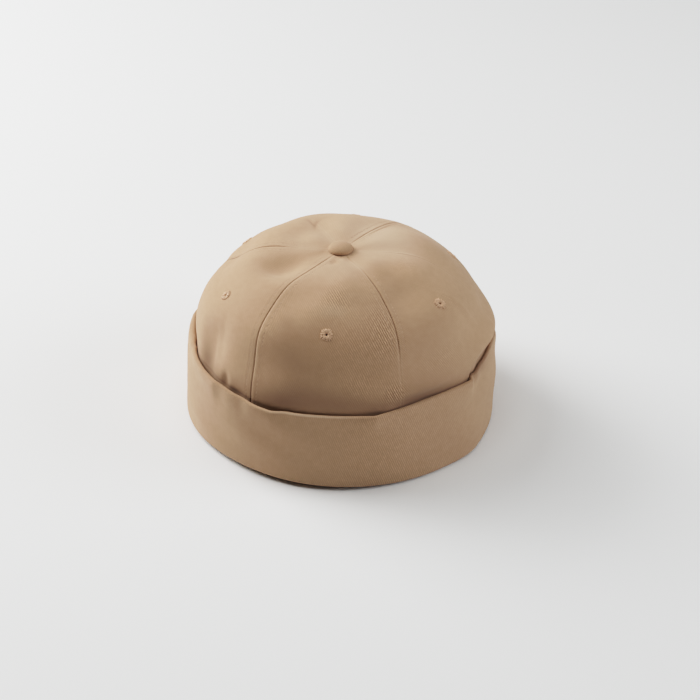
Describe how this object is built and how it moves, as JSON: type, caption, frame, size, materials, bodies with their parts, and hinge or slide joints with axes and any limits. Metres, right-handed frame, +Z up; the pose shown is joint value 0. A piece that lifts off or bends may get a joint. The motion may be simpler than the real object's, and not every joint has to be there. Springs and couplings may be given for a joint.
{
  "type": "docker cap",
  "caption": "Brimless cloth cap with a sewn panel crown, stitched vent eyelets, a covered top button and a tall turned-up cuff, open below for the head.",
  "frame": {"origin": "centre of the cap's footprint, on the surface that its bottom fold stands on", "axes": "+Z up along the crown's axis through the button, -Y to the front panel"},
  "size_m": [0.1951, 0.1964, 0.1159],
  "materials": {
    "crown_twill": "brushed cotton twill, matte khaki",
    "cuff_twill": "brushed cotton twill, matte khaki, folded double",
    "button_twill": "the same twill stretched over a button form",
    "eyelet_thread": "tonal embroidery thread, slight sheen"
  },
  "bodies": {
    "root": {"crown_panel_1": "crown_twill", "crown_panel_2": "crown_twill", "crown_panel_3": "crown_twill", "crown_panel_4": "crown_twill", "crown_panel_5": "crown_twill", "crown_panel_6": "crown_twill", "cuff": "cuff_twill", "top_button": "button_twill", "eyelet_1": "eyelet_thread", "eyelet_2": "eyelet_thread", "eyelet_3": "eyelet_thread", "eyelet_4": "eyelet_thread", "eyelet_5": "eyelet_thread", "eyelet_6": "eyelet_thread"}
  },
  "joints": []
}
